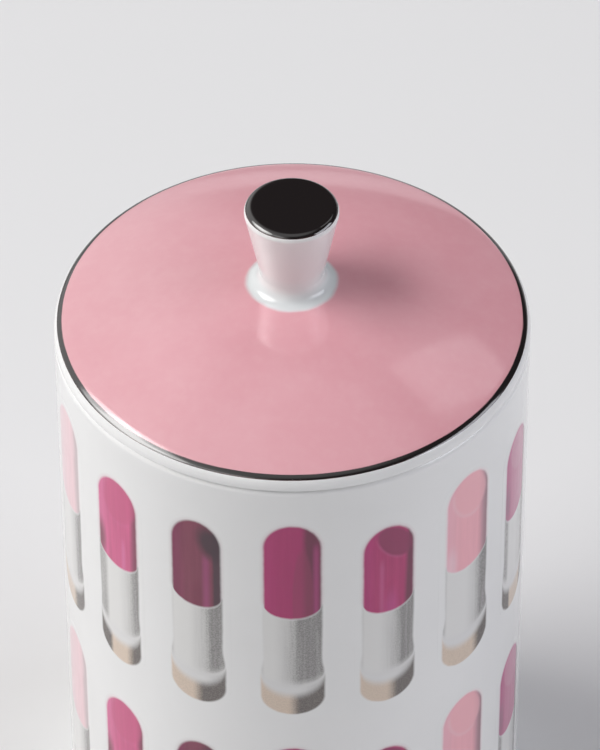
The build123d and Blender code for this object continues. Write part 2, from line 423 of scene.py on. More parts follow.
def settle(piece, body, slot, *nodes):
    """Rides a piece on its body and hides the model nodes that it stands for. The slot, its finish, is not
    used.
    """
    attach(piece, body)
    if nodes:
        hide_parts(*nodes)


# ---- Places that more than one piece shares -------------------------------------------------------


class Places:
    """Centres, angles and levels of the lid and the knob, worked out from their sizes."""

    def __init__(self, sizes):
        jar, lid, knob = sizes.jar, sizes.lid, sizes.knob
        self.edge_centre = (jar.radius - lid.edge_round, jar.seat_height + lid.edge_upright)
        drop = sqrt((lid.dome_radius - lid.edge_round) ** 2 - self.edge_centre[0] ** 2)
        self.dome_centre = (0.0, self.edge_centre[1] - drop)
        self.dome_edge = atan2(drop, self.edge_centre[0])
        self.dome_rim = self.edge_centre[0] + lid.edge_round * cos(self.dome_edge)
        self.coat_floor = lid.dome_radius - lid.coat
        self.collar_radius = knob.neck_radius + knob.foot_sweep
        self.collar_angle = self.on_dome(lid.dome_radius, self.collar_radius)
        self.collar_height = on_circle(self.dome_centre, lid.dome_radius, self.collar_angle)[1]
        self.land_angle = self.on_dome(self.coat_floor, self.collar_radius)
        self.land_height = on_circle(self.dome_centre, self.coat_floor, self.land_angle)[1]
        self.cap_centre = (knob.top_radius - knob.top_round, knob.top - knob.top_round)

    def on_dome(self, radius, distance):
        """Angle at which a sphere about the dome's centre is at a distance from the axis."""
        return pi / 2.0 - asin(distance / radius)


# ---- Shader nodes ---------------------------------------------------------------------------------


class Flow:
    """What comes out of a socket. Arithmetic on it places Math nodes."""

    def __init__(self, wires, socket):
        self.wires = wires
        self.socket = socket

    def __add__(self, other):
        return self.wires.maths("ADD", self, other)

    def __sub__(self, other):
        return self.wires.maths("SUBTRACT", self, other)

    def __rsub__(self, other):
        return self.wires.maths("SUBTRACT", other, self)

    def __mul__(self, other):
        return self.wires.maths("MULTIPLY", self, other)

    def __truediv__(self, other):
        return self.wires.maths("DIVIDE", self, other)


class Wiring:
    """Places nodes in one node tree and joins them. A value is a number, a colour or a Flow."""

    def __init__(self, tree):
        self.tree = tree

    def node(self, kind, **settings):
        made = self.tree.nodes.new(kind)
        for name, value in settings.items():
            setattr(made, name, value)
        return made

    def flow(self, made, output=0):
        return Flow(self, made.outputs[output])

    def feed(self, socket, value):
        if isinstance(value, Flow):
            self.tree.links.new(value.socket, socket)
        elif socket.type == "RGBA":
            socket.default_value = (*value[:3], 1.0)
        else:
            socket.default_value = value

    def maths(self, operation, *values, clamp=False):
        """One arithmetic step."""
        made = self.node("ShaderNodeMath", operation=operation, use_clamp=clamp)
        for socket, value in zip(made.inputs, values):
            self.feed(socket, value)
        return self.flow(made)

    def multiply_add(self, value, factor, addend, clamp=False):
        return self.maths("MULTIPLY_ADD", value, factor, addend, clamp=clamp)

    def absolute(self, value):
        return self.maths("ABSOLUTE", value)

    def fade(self, value, start, end, low=0.0, high=1.0):
        """Goes smoothly from low at start to high at end, and stays level outside them."""
        made = self.node("ShaderNodeMapRange", interpolation_type="SMOOTHSTEP")
        ends = {"Value": value, "From Min": start, "From Max": end, "To Min": low, "To Max": high}
        for name, part in ends.items():
            self.feed(made.inputs[name], part)
        return self.flow(made)

    def blend(self, share, first, second, method="MIX"):
        """Colour that goes from the first to the second."""
        made = self.node("ShaderNodeMix", data_type="RGBA", blend_type=method)
        for number, part in ((0, share), (6, first), (7, second)):
            self.feed(made.inputs[number], part)
        return self.flow(made, 2)

    def dimmed(self, tone, share):
        """A colour times a number."""
        return self.blend(1.0, tone, self.point(share, share, share), "MULTIPLY")

    def noise(self, place, scale, detail=2.0, roughness=0.5):
        """Soft random value about 0.5."""
        made = self.node("ShaderNodeTexNoise")
        self.feed(made.inputs["Vector"], place)
        for name, value in (("Scale", scale), ("Detail", detail), ("Roughness", roughness)):
            made.inputs[name].default_value = value
        return self.flow(made, "Fac")

    def wander(self, value, place, scale, reach):
        """A value moved by the reach times soft noise that is centred on zero."""
        return self.multiply_add(self.noise(place, scale) - 0.5, reach, value)

    def both(self, *masks):
        """Product of several masks."""
        product = masks[0]
        for mask in masks[1:]:
            product = product * mask
        return product

    def object_place(self):
        return self.flow(self.node("ShaderNodeTexCoord"), "Object")

    def point(self, x, y, z=0.0):
        made = self.node("ShaderNodeCombineXYZ")
        for socket, value in zip(made.inputs, (x, y, z)):
            self.feed(socket, value)
        return self.flow(made)

    def split(self, vector):
        """The x, y and z of a vector."""
        made = self.node("ShaderNodeSeparateXYZ")
        self.feed(made.inputs[0], vector)
        return [self.flow(made, number) for number in range(3)]

    def sagging(self, height, x, half_width, sag):
        """A level that curves up towards both sides as the lower half of an ellipse does: height
        plus sag times (1 - sqrt(1 - (x / half width) squared))."""
        share = x / half_width
        left_over = self.maths("MAXIMUM", 1.0 - share * share, 0.0)
        return self.multiply_add(1.0 - self.maths("SQRT", left_over), sag, height)

    def outside_bar(self, x, height, half_width, top, top_round, bottom, bottom_round):
        """Distance outside an upright bar with elliptical ends: (sqrt(across squared + over
        squared + under squared) - 1) times the half width, each as a share of its own radius."""
        across = x / half_width
        over = (height - (top - top_round)) / top_round
        under = ((bottom + bottom_round) - height) / bottom_round
        total = across * across
        for part in (over, under):
            part = self.maths("MAXIMUM", part, 0.0)
            total = self.multiply_add(part, part, total)
        return (self.maths("SQRT", total) - 1.0) * half_width


def new_group(name, inputs, outputs):
    """A node group with named inputs, given with their starting values, and named outputs. A colour
    is a value of three numbers. Gives the group, its wiring, its inputs and its end node."""
    tree = bpy.data.node_groups.new(name, "ShaderNodeTree")
    w = Wiring(tree)
    for label, value in inputs.items():
        is_colour = isinstance(value, tuple)
        kind = "NodeSocketColor" if is_colour else "NodeSocketFloat"
        socket = tree.interface.new_socket(label, in_out="INPUT", socket_type=kind)
        socket.default_value = (*value, 1.0) if is_colour else value
    for label, kind in outputs.items():
        tree.interface.new_socket(label, in_out="OUTPUT", socket_type=kind)
    start = w.node("NodeGroupInput")
    given = {socket.name: Flow(w, socket) for socket in start.outputs if socket.name}
    return tree, w, given, w.node("NodeGroupOutput")


def use_group(w, name, make, values):
    """Places a shared node group, which is built the first time it is asked for, with a material's
    own values, and gives its outputs by name."""
    made = w.node("ShaderNodeGroup", node_tree=bpy.data.node_groups.get(name) or make(name))
    for label, value in values.items():
        w.feed(made.inputs[label], value)
    return {socket.name: Flow(w, socket) for socket in made.outputs}


def glaze_group(name):
    """Fired glaze: slow waves and fine orange peel as a height, and a slightly uneven gloss."""
    outputs = dict.fromkeys(("Roughness", "Height", "Tone"), "NodeSocketFloat")
    tree, w, given, end = new_group(name, PLAIN_GLAZE, outputs)
    place = w.object_place()
    slow = w.noise(place, 70.0, 1.0)
    fine = w.noise(place, 900.0)
    cloud = w.noise(place, 28.0, 3.0, 0.6)
    height = w.multiply_add(fine, given["Peel"], slow * given["Waves"])
    w.feed(end.inputs["Height"], height)
    w.feed(end.inputs["Roughness"], w.multiply_add(cloud, given["Unevenness"], given["Gloss"]))
    w.feed(end.inputs["Tone"], w.fade(cloud, 0.3, 0.7, 0.985, 1.01))
    return tree


def fired_glaze(w, **values):
    """The fired glaze in a material, with what differs from the plain one."""
    return use_group(w, "Fired glaze", glaze_group, labelled(values))


def labelled(values):
    """Values under the labels of their group inputs."""
    return {name.replace("_", " ").capitalize(): value for name, value in values.items()}


def print_group(name):
    """A lipstick on the print map, x across and height up in millimetres: a bullet with a worn face,
    streaks and a shaded side, in a grey sleeve with a light ring on a beige base."""
    inputs = {**LIPSTICKS["fuchsia"], **dict.fromkeys(("glaze", *BODY_COLOURS), WHITE)}
    tree, w, given, end = new_group(name, labelled(inputs), {"Color": "NodeSocketColor"})
    map_x, map_y, _ = w.split(w.flow(w.node("ShaderNodeUVMap", uv_map=PRINT_MAP), "UV"))
    wobble = w.noise(w.object_place(), 650.0, 1.0) - 0.5
    x = w.multiply_add(wobble, 0.14, map_x)
    height = w.multiply_add(wobble, 0.2, map_y)

    def spot(from_x, from_height, half_across, half_along, tilt=0.0):
        """Distance from the middle of a tilted ellipse, 1 on its edge."""
        dx, dy = x - from_x, height - from_height
        cosine, sine = w.maths("COSINE", tilt), w.maths("SINE", tilt)
        across = (dx * cosine + dy * sine) / half_across
        along = (dy * cosine - dx * sine) / half_along
        return w.maths("SQRT", w.multiply_add(across, across, along * along))

    # Bullet
    top, foot, half = given["Top"], given["Foot"], given["Half width"]
    upright = w.point(x * 0.9, height * 0.05, top)
    streak = w.noise(upright, 1.0, 3.0, 0.6) - 0.5
    bullet = w.blend(w.fade(x, -1.5, 0.0 - half), given["Main"], given["Left"])
    patch_at = spot(given["Patch x"], given["Patch height"], 1.9, 6.0)
    patched = w.fade(patch_at, 1.3, 0.2) * given["Patch amount"]
    bullet = w.blend(patched, bullet, given["Patch"])
    slant = (height - (top + foot) * 0.5) * given["Shade slant"]
    shade_start = given["Shade from"] + slant
    shaded = w.fade(x, shade_start, shade_start + given["Shade soft"])
    bullet = w.blend(shaded, bullet, given["Shade"])
    bullet = w.dimmed(bullet, w.multiply_add(streak * given["Streaks"], 1.1, 1.0))
    low, high = given["Glint low"], given["Glint high"]
    on_line = w.fade(w.absolute(x - given["Glint x"]), given["Glint half"], 0.0)
    upright_share = w.both(on_line, w.fade(height, low, low + 2.5), w.fade(height, high, high - 4.0))
    bullet = w.blend(upright_share * given["Glint amount"], bullet, given["Glint"])
    face_x, face_height, soft = given["Face x"], top - given["Face drop"], given["Face soft"]
    face_at = spot(face_x, face_height, given["Face across"], given["Face along"], given["Face tilt"])
    worn = w.fade(face_at, soft + 1.0, 1.0 - soft) * given["Face amount"]
    bullet = w.blend(worn, bullet, given["Face"])
    rim = w.fade(w.absolute(face_at - 1.04), 0.17, 0.0)
    low_left = w.fade((x - face_x) + (height - face_height), -1.5, -4.5)
    bullet = w.blend(w.both(rim, low_left, given["Face rim"], 0.55), bullet, given["Glint"])

    # Sleeve, with printed grain where it is grey
    dots = w.noise(w.point(x * DOTS_PER_MM, height * DOTS_PER_MM, top), 1.0, 1.0)
    grain = w.fade(dots, 0.32, 0.68, -1.0, 1.0)
    brushed = w.noise(w.point(x * 1.1, height * 0.04, foot), 1.0, 3.0, 0.6)
    grey_start = given["Sleeve grey from"]
    right_grey = w.fade(x, grey_start, grey_start + 3.6, 0.0, 0.85)
    first_grey = w.fade(x, grey_start - 3.2, grey_start + 0.8, 0.0, 0.3)
    left_edge = given["Sleeve left grey"] - (half + SLEEVE_SLACK)
    left_grey = w.fade(x, left_edge, left_edge - 2.0, 0.0, 0.75)
    grey = w.maths("MAXIMUM", w.maths("ADD", right_grey, first_grey, clamp=True), left_grey)
    brush_marks = w.fade(brushed, 0.3, 0.7, -0.16, 0.12)
    grey = w.multiply_add(brush_marks, w.fade(grey, 0.0, 0.5), grey, clamp=True)
    sleeve = w.blend(grey, given["Sleeve light"], given["Sleeve dark"])
    sleeve = w.dimmed(sleeve, w.multiply_add(grain * w.fade(grey, 0.1, 0.8), 0.16, 1.0))

    # Base and ring
    base_half = given["Base half width"]
    beige_from, beige_to = given["Base beige from"], given["Base beige to"]
    left_of_beige = w.fade(x, beige_from - 0.8, beige_from + 0.5)
    in_beige = left_of_beige * w.fade(x, beige_to + 2.4, beige_to - 0.6)
    base = w.blend(in_beige, given["Base dark"], given["Base light"])
    base = w.dimmed(base, w.multiply_add(grain, w.fade(in_beige, 1.0, 0.0, 0.05, 0.2), 1.0))
    haze = w.blend(w.fade(x, 0.0, base_half, 0.0, 0.35), HAZE_COLOUR, sleeve)
    over_base = height - w.sagging(BASE_TOP, x, base_half, BASE_TOP_SAG)
    over_ring = height - w.sagging(RING_HEIGHT, x, base_half, RING_SAG)
    body = w.blend(w.fade(over_base, -1.2, 1.9), base, haze)
    body = w.blend(w.fade(over_ring, -0.8, 2.6), body, sleeve)
    ring = w.fade(w.absolute(over_ring), 0.95, 0.05) * w.fade(x, -3.0, 4.0, 0.25, 0.85)
    body = w.blend(ring, body, RING_COLOUR)

    # Which of them shows where
    above_foot = height - w.sagging(foot, x, half + 0.1, SLEEVE_SAG)
    below_foot = w.fade(above_foot, EDGE_SOFT, -EDGE_SOFT)
    sleeve_half = half + w.fade(height, 28.0, 15.0, SLEEVE_SLACK, 0.1)
    body_half = sleeve_half + w.fade(height, 17.5, 11.5) * (base_half - sleeve_half)
    outside_body = w.outside_bar(x, height, body_half, HIDDEN_TOP, 1.0, 0.0, BASE_CROWN)
    outside_bullet = w.outside_bar(x, height, half, top, BULLET_CROWN, HIDDEN_BOTTOM, 1.0)
    on_body = w.fade(outside_body, EDGE_SOFT, -EDGE_SOFT) * below_foot
    in_bullet = w.fade(outside_bullet, EDGE_SOFT, -EDGE_SOFT)
    on_bullet = in_bullet * w.fade(above_foot, -EDGE_SOFT, EDGE_SOFT)
    bleed = w.fade(outside_bullet, 1.1, 0.0, 0.0, 0.16) * w.fade(above_foot, -0.8, 0.8)
    lip = w.fade(w.absolute(above_foot + 0.25), 0.55, 0.0, 0.0, 0.5) * on_body
    shown = w.blend(bleed, given["Glaze"], given["Main"])
    for share, layer in ((on_body, body), (lip, LIP_COLOUR), (on_bullet, bullet)):
        shown = w.blend(share, shown, layer)
    w.feed(end.inputs["Color"], shown)
    return tree


# ---- Materials ------------------------------------------------------------------------------------


def new_material(name):
    """A material with its wiring and its Principled shader."""
    material = bpy.data.materials.new(name)
    material.use_nodes = True
    return material, Wiring(material.node_tree), material.node_tree.nodes["Principled BSDF"]


def around_axis(w):
    """Object coordinates, and from them the distance from the jar's axis, which is
    sqrt(x squared + y squared), and the height above the foot, in metres."""
    place = w.object_place()
    x, y, height = w.split(place)
    return place, w.maths("SQRT", w.multiply_add(x, x, y * y)), height


def finish_surface(w, shader, tone, roughness, height, relief):
    """Feeds a surface's colour, roughness and height to its shader."""
    w.feed(shader.inputs["Base Color"], tone)
    w.feed(shader.inputs["Roughness"], roughness)
    bump = w.node("ShaderNodeBump")
    bump.inputs["Strength"].default_value = relief
    bump.inputs["Distance"].default_value = RELIEF_DEPTH
    w.feed(bump.inputs["Height"], height)
    w.feed(shader.inputs["Normal"], w.flow(bump))


def finish_enamel(w, shader, tone, fired):
    """Finishes a coloured enamel, which is glossier than the porcelain's glaze."""
    shader.inputs["IOR"].default_value = ENAMEL_IOR
    finish_surface(w, shader, tone, fired["Roughness"], fired["Height"], COAT_RELIEF)


def porcelain_material(colours, jar):
    """White porcelain: glossy glaze, dry and bare on the foot ring, and finely speckled there."""
    material, w, shader = new_material("Glazed porcelain")
    place, distance, height = around_axis(w)
    fired = fired_glaze(w)
    foot_middle = jar.radius - jar.base_round - jar.foot_width / 2.0
    edge = w.wander(w.absolute(distance - foot_middle), place, 300.0, 0.6 * MM)
    half_foot = jar.foot_width / 2.0
    on_foot = w.fade(edge, half_foot + 0.9 * MM, half_foot + 0.5 * MM)
    bare = on_foot * w.fade(height, 0.6 * MM, 0.35 * MM)
    tone = w.dimmed(colours.porcelain, fired["Tone"])
    speckle = w.fade(w.noise(place, 2600.0, 1.0), 0.66, 0.74, 0.0, 0.35)
    tone = w.blend(bare, tone, w.blend(speckle, colours.biscuit, SPECKLE_COLOUR))
    roughness = w.multiply_add(bare, 0.6, fired["Roughness"])
    grit = w.noise(place, 3500.0) * (bare * 0.6)
    finish_surface(w, shader, tone, roughness, fired["Height"] + grit, WALL_RELIEF)
    return material


def knob_material(colours, places):
    """The porcelain knob: glaze that pools bluish at its foot, darkened there as painted shade in the
    hollow of the sweep, and takes a pink tint where it meets the enamel."""
    material, w, shader = new_material("Knob porcelain")
    place, distance, height = around_axis(w)
    fired = fired_glaze(w)
    rise = height - places.collar_height
    tone = w.dimmed(colours.porcelain, fired["Tone"])
    # pooled glaze and painted shade, strongest low in the hollow at the knob's foot
    tone = w.blend(w.fade(rise, 3.2 * MM, 0.3 * MM, 0.0, 0.7), tone, POOLED_GLAZE_AND_SHADE)
    collar = places.collar_radius
    edge = w.wander(distance, place, COLLAR_NOISE, COLLAR_WANDER)
    tint = w.fade(edge, collar - 0.7 * MM, collar + 0.1 * MM, 0.0, 0.45)
    tone = w.blend(tint * w.fade(rise, 1.2 * MM, 0.6 * MM), tone, colours.pink)
    finish_surface(w, shader, tone, fired["Roughness"], fired["Height"], COAT_RELIEF)
    return material


def pink_material(colours, places):
    """Pink enamel: faintly cloudy and brushed, and thin and pale where it laps the knob's collar."""
    material, w, shader = new_material("Pink enamel")
    place, distance, _ = around_axis(w)
    fired = fired_glaze(w, gloss=0.08, unevenness=0.05, waves=0.45, peel=0.2)
    cloud = w.noise(place, 45.0, 4.0, 0.65)
    brush = w.noise(place, 420.0, 2.0, 0.6)
    deeper = tuple(value * share for value, share in zip(colours.pink, DEEPER_PINK))
    tone = w.blend(w.fade(cloud, 0.35, 0.68), colours.pink, deeper)
    tone = w.blend(w.fade(brush, 0.4, 0.75, 0.0, 0.06), tone, BRUSHED_PINK)
    collar = places.collar_radius
    edge = w.wander(distance, place, COLLAR_NOISE, COLLAR_WANDER)
    thin = w.fade(edge, collar + 0.5 * MM, collar - 0.2 * MM, 0.0, 0.55)
    finish_enamel(w, shader, w.blend(thin, tone, THIN_PINK), fired)
    return material


def line_material(colours, places, lid):
    """The hand-drawn dark line: nearly black in its middle and thin brown at both edges, which
    wander a little, with pink showing through at the upper one."""
    material, w, shader = new_material("Dark line")
    place, distance, height = around_axis(w)
    fired = fired_glaze(w, gloss=0.1)
    out, up = distance - places.edge_centre[0], height - places.edge_centre[1]
    angle = w.wander(w.maths("ARCTAN2", up, out), place, 130.0, radians(9.0))
    low = lid.line_from
    span = places.dome_edge - low
    lower_edge = w.fade(angle, low + 0.14 * span, low - 0.06 * span)
    upper_edge = w.fade(angle, low + 0.86 * span, low + 1.02 * span)
    tone = w.blend(lower_edge, colours.dark, colours.dark_edge)
    tone = w.blend(upper_edge, tone, w.blend(0.45, colours.dark_edge, colours.pink))
    finish_enamel(w, shader, tone, fired)
    return material


def cap_material(colours, places, knob):
    """The dark cap of the knob: deep and glossy, thinning to brown at its lower edge."""
    material, w, shader = new_material("Dark cap")
    place, _, height = around_axis(w)
    fired = fired_glaze(w, gloss=0.05, waves=0.5)
    lowest = places.cap_centre[1] + knob.top_round * sin(knob.cap_from)
    level = w.wander(height, place, 260.0, 0.25 * MM)
    at_edge = w.fade(level, lowest + 0.22 * MM, lowest - 0.05 * MM)
    finish_enamel(w, shader, w.blend(at_edge, colours.dark, colours.dark_edge), fired)
    return material


def print_material(name, lipstick, colours):
    """A lipstick printed under the same glaze as the wall's."""
    material, w, shader = new_material(f"Lipstick print {name}")
    fired = fired_glaze(w)
    body_colours = {field: getattr(colours, field) for field in BODY_COLOURS}
    under_glaze = w.dimmed(colours.porcelain, fired["Tone"])
    values = labelled({**lipstick, **body_colours, "glaze": under_glaze})
    tone = use_group(w, "Lipstick print", print_group, values)["Color"]
    finish_surface(w, shader, tone, fired["Roughness"], fired["Height"], WALL_RELIEF)
    return material


# ---- Pieces ---------------------------------------------------------------------------------------


def sizes():
    """The sizes and colours of the jar in the open scene."""
    return bpy.context.scene.powder_jar


class POWDERJAR_OT_body(bpy.types.Operator):
    """Turned jar with a flat mouth, a rounded inside corner and a recessed foot"""

    bl_idname = "powder_jar.body"
    bl_label = "Jar Body"

    def execute(self, context):
        jar = sizes().jar
        inside = jar.radius - jar.wall
        floor = jar.recess + jar.floor
        foot_inside = jar.radius - jar.base_round - jar.foot_width
        underside, under_edge = (0.0, jar.recess), (foot_inside, jar.recess)
        foot, base = (foot_inside, 0.0), (jar.radius, 0.0)
        mouth_outside, mouth_inside = (jar.radius, jar.seat_height), (inside, jar.seat_height)
        bottom_corner, middle = (inside, floor), (0.0, floor)
        turned_under = rounded(foot, base, mouth_outside, jar.base_round, 14)
        outside_lip = rounded(base, mouth_outside, mouth_inside, jar.mouth_outside)
        inside_lip = rounded(mouth_outside, mouth_inside, bottom_corner, jar.mouth_inside)
        corner = rounded(mouth_inside, bottom_corner, middle, jar.inside_corner, 16)
        points = outline(
            run(underside, under_edge, 12),
            rounded(under_edge, foot, base, jar.foot_round),
            turned_under,
            run(turned_under[-1], outside_lip[0], 24),
            outside_lip,
            inside_lip,
            run(inside_lip[-1], corner[0], 16),
            corner,
            run(corner[-1], middle, 12),
        )
        material = porcelain_material(sizes().colours, jar)
        settle(lathe("glazed_jar_body", points, BODY_FACETS, material), JAR, "porcelain", "jar_body")
        return {"FINISHED"}


class POWDERJAR_OT_lid_plate(bpy.types.Operator):
    """Domed porcelain lid with a flange that drops into the mouth"""

    bl_idname = "powder_jar.lid_plate"
    bl_label = "Lid Plate"

    def execute(self, context):
        jar, lid = sizes().jar, sizes().lid
        places = Places(sizes())
        flange_outside = jar.radius - jar.wall - lid.flange_clearance
        flange_inside = flange_outside - lid.flange_width
        under_radius = lid.dome_radius - lid.thickness
        under_edge = places.on_dome(under_radius, flange_inside)
        seat_corner, flange_root = (jar.radius, jar.seat_height), (flange_outside, jar.seat_height)
        outer_tip, inner_tip = (flange_outside, lid.flange_bottom), (flange_inside, lid.flange_bottom)
        edge_start = (jar.radius, places.edge_centre[1])
        points = outline(
            (0.0, places.land_height),
            arc(places.dome_centre, places.coat_floor, places.land_angle, places.dome_edge, 40),
            arc(places.edge_centre, lid.edge_round - lid.coat, places.dome_edge, lid.line_from, 6),
            arc(places.edge_centre, lid.edge_round, lid.line_from, 0.0, 12),
            rounded(edge_start, seat_corner, flange_root, lid.seat_round, 6),
            flange_root,
            rounded(flange_root, outer_tip, inner_tip, lid.flange_round),
            rounded(outer_tip, inner_tip, (flange_inside, jar.seat_height), lid.flange_round),
            arc(places.dome_centre, under_radius, under_edge, pi / 2.0, 48),
        )
        material = porcelain_material(sizes().colours, jar)
        settle(lathe("glazed_lid_plate", points, LID_FACETS, material), LID, "porcelain", "lid_plate")
        return {"FINISHED"}


class POWDERJAR_OT_coats(bpy.types.Operator):
    """Pink enamel on the dome and the dark line round its edge"""

    bl_idname = "powder_jar.coats"
    bl_label = "Dome Enamel and Line"

    def execute(self, context):
        lid, colours = sizes().lid, sizes().colours
        places = Places(sizes())
        # The dome sinks by the drop times the square of the share along the lip. The line starts at
        # that depth and slope and comes back to its own rounding: its depth is the drop times
        # (1 - share) squared times (1 + onward times share).
        lip_angle = places.on_dome(lid.dome_radius, places.dome_rim - lid.lip)
        lip = arc(places.dome_centre, lid.dome_radius, lip_angle, places.dome_edge, 10)
        line = arc(places.edge_centre, lid.edge_round, places.dome_edge, lid.line_from, 16)
        along_lip, along_line = np.linspace(0.0, 1.0, len(lip)), np.linspace(0.0, 1.0, len(line))
        onward = 2.0 + 2.0 * lid.edge_round * (places.dome_edge - lid.line_from) / lid.lip
        line_depths = lid.lip_drop * (1.0 - along_line) ** 2 * (1.0 + onward * along_line)
        dome = outline(
            arc(places.dome_centre, lid.dome_radius, places.collar_angle, lip_angle, 62),
            sunk(lip, places.dome_centre, lid.lip_drop * along_lip**2),
            arc(places.dome_centre, places.coat_floor, places.dome_edge, places.land_angle, 24),
        )
        edge = outline(
            sunk(line, places.edge_centre, line_depths),
            arc(places.edge_centre, lid.edge_round - lid.coat, lid.line_from, places.dome_edge, 6),
        )
        pink = pink_material(colours, places)
        dark = line_material(colours, places, lid)
        settle(lathe("pink_dome_enamel", dome, LID_FACETS, pink), LID, "pink_enamel", "lid_enamel")
        settle(lathe("dark_edge_line", edge, LID_FACETS, dark), LID, "dark_enamel", "rim_line")
        return {"FINISHED"}


class POWDERJAR_OT_knob(bpy.types.Operator):
    """Flared knob with a hollow foot sweep, and its dark cap"""

    bl_idname = "powder_jar.knob"
    bl_label = "Knob and Cap"

    def execute(self, context):
        lid, knob, colours = sizes().lid, sizes().knob, sizes().colours
        places = Places(sizes())
        sweep_centre = (places.collar_radius, places.collar_height + knob.foot_sweep)
        across = sweep_centre[0] - places.cap_centre[0]
        down = sweep_centre[1] - places.cap_centre[1]
        # The straight side touches both circles: its normal makes with the line of centres an angle
        # whose cosine is the sum of the radii over the distance between the centres
        side_normal = atan2(down, across) + acos((knob.top_round + knob.foot_sweep) / hypot(across, down))
        sweep = arc(sweep_centre, knob.foot_sweep, -pi / 2.0, side_normal - pi, 22)
        shoulder = arc(places.cap_centre, knob.top_round, side_normal, knob.cap_from, 12)
        under_coat = knob.top_round - lid.coat
        stem = outline(
            run((0.0, places.land_height), (places.collar_radius, places.land_height), 6),
            sweep,
            run(sweep[-1], shoulder[0], 14),
            shoulder,
            arc(places.cap_centre, under_coat, knob.cap_from, pi / 2.0, 8),
            (0.0, knob.top - lid.coat),
        )
        top = outline(
            arc(places.cap_centre, knob.top_round, knob.cap_from, pi / 2.0, 12),
            run((places.cap_centre[0], knob.top), (0.0, knob.top), 8),
            (0.0, knob.top - lid.coat),
            arc(places.cap_centre, under_coat, pi / 2.0, knob.cap_from, 8),
        )
        white = knob_material(colours, places)
        dark = cap_material(colours, places, knob)
        settle(lathe("glazed_knob", stem, KNOB_FACETS, white), LID, "porcelain", "lid_knob")
        settle(lathe("dark_knob_cap", top, KNOB_FACETS, dark), LID, "dark_enamel", "knob_cap")
        return {"FINISHED"}


def print_patch(name, lipstick, prints, jar, middle, base, material):
    """A thin closed patch on the wall. Across it x is its half width times the sine of an angle from
    -90 to 90 degrees, and each upright line runs between two elliptical ends. The point x, h goes
    to radius times (sin, -cos) of (middle + x / wall radius), at base + h, for an outer and an inner
    radius."""
    half_width = lipstick["base_half_width"] * MM + prints.border
    top = lipstick["top"] * MM + prints.border
    bottom = -prints.border
    across = np.sin(np.linspace(-pi / 2.0, pi / 2.0, PRINT_FACETS[0] + 1))
    bulge = np.sqrt(np.clip(1.0 - across**2, 0.0, 1.0))
    low = bottom + (BASE_CROWN * MM + prints.border) * (1.0 - bulge)
    high = top - (BULLET_CROWN * MM + prints.border) * (1.0 - bulge)
    share = np.linspace(0.0, 1.0, PRINT_FACETS[1] + 1)[:, None]
    heights = low + (high - low) * share
    x = np.broadcast_to(across * half_width, heights.shape)
    turns = middle + x / jar.radius
    shells = [
        np.stack((radius * np.sin(turns), -radius * np.cos(turns), base + heights), axis=-1)
        for radius in (jar.radius + prints.proud, jar.radius - prints.proud)
    ]
    vertices = np.concatenate(shells).reshape(-1, 3)
    number = np.arange(heights.size).reshape(heights.shape)
    corners = (number[:-1, :-1], number[:-1, 1:], number[1:, 1:], number[1:, :-1])
    front = np.stack(corners, axis=-1).reshape(-1, 4)
    back = front[:, ::-1] + heights.size
    ring = np.concatenate((number[0, :-1], number[:-1, -1], number[-1, :0:-1], number[:0:-1, 0]))
    ahead = np.roll(ring, -1)
    side = np.stack((ring, ring + heights.size, ahead + heights.size, ahead), axis=-1)
    faces = np.vstack((front, back, side))
    flat = np.stack((x, heights), axis=-1).reshape(-1, 2) / MM
    tall = (top - bottom) / MM
    placed = (flat - (0.0, bottom / MM)) / tall + (BAKE_MIDDLE, 0.0)
    shifts = np.zeros((len(faces), 1, 2))
    shifts[len(front):len(front) + len(back), :, 0] = BAKE_BACK
    at = faces % heights.size
    maps = {
        BAKE_MAP: (placed[at] * BAKE_SCALE + shifts + BAKE_MARGIN).reshape(-1, 2),
        PRINT_MAP: flat[at].reshape(-1, 2),
    }
    return add_mesh(name, vertices.tolist(), faces.tolist(), maps, material)


class POWDERJAR_OT_prints(bpy.types.Operator):
    """Rows of printed lipsticks round the wall"""

    bl_idname = "powder_jar.prints"
    bl_label = "Lipstick Prints"

    def execute(self, context):
        jar, prints, colours = sizes().jar, sizes().prints, sizes().colours
        materials = {
            name: print_material(name, lipstick, colours) for name, lipstick in LIPSTICKS.items()
        }
        front = np.arange(-COLUMNS_EACH_SIDE, COLUMNS_EACH_SIDE + 1) * prints.front_pitch
        gaps_behind = prints.columns - len(front) + 1
        behind = np.linspace(front[-1], 2.0 * pi + front[0], gaps_behind + 1)[1:-1]
        turns = prints.turned_by + np.concatenate((front, behind))
        for row in range(prints.rows):
            base = jar.seat_height - prints.first_base - row * prints.row_pitch
            for column, middle in enumerate(turns):
                name = ROUND_THE_JAR[column % len(ROUND_THE_JAR)]
                label = f"print_{row + 1}_{column + 1:02d}_{name}"
                lipstick, material = LIPSTICKS[name], materials[name]
                patch = print_patch(label, lipstick, prints, jar, middle, base, material)
                settle(patch, JAR, "porcelain")
        return {"FINISHED"}


# ---- Stage ----------------------------------------------------------------------------------------


class Softbox(NamedTuple):
    """A rectangular or oval light seen from the jar. Azimuth is counted from the front towards +X, and
    sizes are the angles that the light spans, in degrees."""

    azimuth: float
    elevation: float
    width: float
    height: float
    radiance: float
    colour: tuple
    shape: str = "RECTANGLE"
    distance: float = 2.6


KEY_COLOUR = (1.0, 0.99, 0.98)
BLUISH = (0.92, 0.926, 1.0)
SOFTBOXES = {
    "Key softbox": Softbox(-88.0, 44.0, 48.0, 36.0, 4.5, KEY_COLOUR, "ELLIPSE"),
    "Key hot centre": Softbox(-92.0, 46.0, 26.0, 20.0, 5.0, KEY_COLOUR),
    "Key near end": Softbox(-49.0, 50.0, 36.0, 8.0, 1.5, KEY_COLOUR),
    "Right softbox": Softbox(82.0, 30.0, 42.0, 22.0, 4.25, BLUISH),
    "Back softbox": Softbox(135.0, 50.0, 13.0, 20.0, 0.8, WHITE),
}

